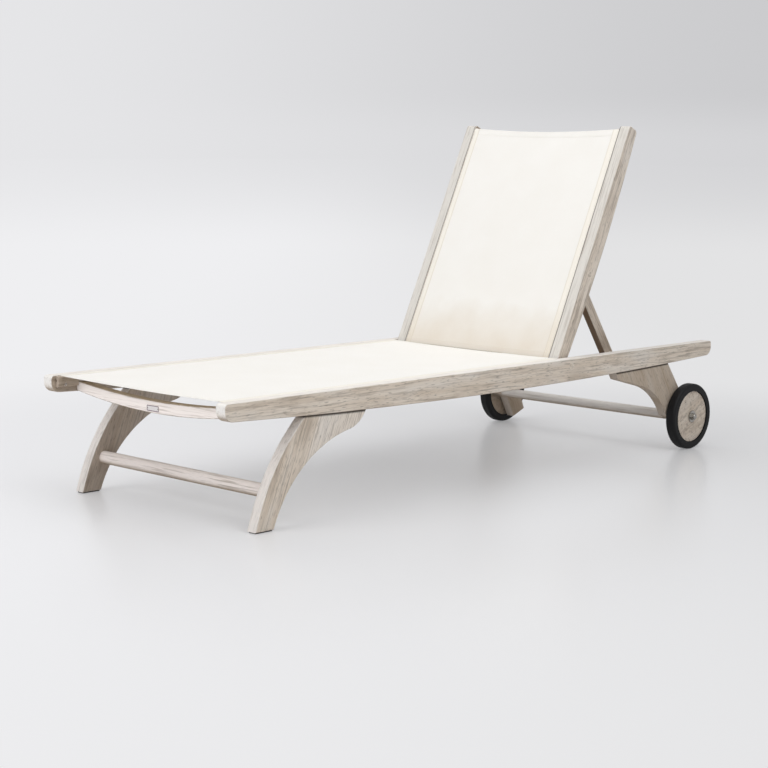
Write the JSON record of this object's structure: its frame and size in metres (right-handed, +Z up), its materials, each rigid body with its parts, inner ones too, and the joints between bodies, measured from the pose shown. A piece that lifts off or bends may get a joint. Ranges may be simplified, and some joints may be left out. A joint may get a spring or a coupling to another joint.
{
  "type": "sun lounger",
  "caption": "Low weathered-teak sun lounger with sling seat, reclining sling back on a notched prop, bowed front crossbar, curved legs and wooden rear wheels with rubber tyres.",
  "frame": {"origin": "on the floor, under the middle of the bounding box", "axes": "+Y along the lounger from the foot end to the head end, +X to the left of a person lying on it, +Z up"},
  "size_m": [0.795, 2, 0.9735],
  "materials": {
    "weathered_teak": "weathered, unoiled, fine grain",
    "sling_mesh": "matte coated-yarn weave",
    "welt_plastic": "extruded, matte",
    "stainless_steel": "satin",
    "glide_rubber": "matte",
    "bush_nylon": "smooth",
    "tyre_rubber": "matte"
  },
  "bodies": {
    "frame": {"side_rail_left": "weathered_teak", "side_rail_right": "weathered_teak", "seat_batten_left": "weathered_teak", "seat_batten_right": "weathered_teak", "seat_batten_screws": "stainless_steel", "seat_sling": "sling_mesh", "seat_welt_rod_left": "welt_plastic", "seat_welt_rod_right": "welt_plastic", "front_crossbar": "weathered_teak", "blank_plate": "stainless_steel", "plate_pins": "stainless_steel", "seat_spreader": "weathered_teak", "front_leg_left": "weathered_teak", "front_leg_right": "weathered_teak", "foot_glide_left": "glide_rubber", "foot_glide_right": "glide_rubber", "front_stretcher": "weathered_teak", "rear_leg_left": "weathered_teak", "rear_leg_right": "weathered_teak", "rear_stretcher": "weathered_teak", "leg_dowels": "weathered_teak", "axle_bolt_left": "stainless_steel", "axle_bolt_right": "stainless_steel", "axle_washers": "stainless_steel", "axle_cap_nuts": "stainless_steel", "pivot_bolt_left": "stainless_steel", "pivot_bolt_right": "stainless_steel", "pivot_plugs": "weathered_teak", "pivot_washers": "stainless_steel", "pivot_nuts": "stainless_steel", "rack_left": "weathered_teak", "rack_right": "weathered_teak", "rack_screws": "stainless_steel"},
    "backrest": {"back_stile_left": "weathered_teak", "back_stile_right": "weathered_teak", "back_batten_left": "weathered_teak", "back_batten_right": "weathered_teak", "back_batten_screws": "stainless_steel", "back_sling": "sling_mesh", "back_welt_rod_left": "welt_plastic", "back_welt_rod_right": "welt_plastic", "lower_back_spreader": "weathered_teak", "upper_back_spreader": "weathered_teak", "strut_bolt_left": "stainless_steel", "strut_bolt_right": "stainless_steel", "strut_plugs": "weathered_teak", "strut_spacers": "bush_nylon", "strut_nuts": "stainless_steel"},
    "strut": {"strut_arm_left": "weathered_teak", "strut_arm_right": "weathered_teak", "strut_brace": "weathered_teak", "strut_peg_left": "weathered_teak", "strut_peg_right": "weathered_teak"},
    "wheel_left": {"wheel_disc_left": "weathered_teak", "wheel_bush_left": "bush_nylon", "tyre_left": "tyre_rubber"},
    "wheel_right": {"wheel_disc_right": "weathered_teak", "wheel_bush_right": "bush_nylon", "tyre_right": "tyre_rubber"}
  },
  "joints": [
    {"name": "recline", "type": "hinge", "parent": "frame", "child": "backrest", "pos_m": [0, 0.296, 0.3], "axis": [1, 0, 0], "range_deg": [-58, 0]},
    {"name": "strut_fold", "type": "hinge", "parent": "backrest", "child": "strut", "pos_m": [0, 0.42106, 0.55057], "axis": [1, 0, 0], "range_deg": [0, 109]},
    {"name": "wheel_spin_left", "type": "hinge", "parent": "frame", "child": "wheel_left", "pos_m": [0.36975, 0.861, 0.1], "axis": [1, 0, 0], "continuous": true},
    {"name": "wheel_spin_right", "type": "hinge", "parent": "frame", "child": "wheel_right", "pos_m": [-0.36975, 0.861, 0.1], "axis": [1, 0, 0], "continuous": true}
  ],
  "couplings": [
    {"joint": "strut_fold", "follows": "recline", "ratio": -1.872}
  ]
}
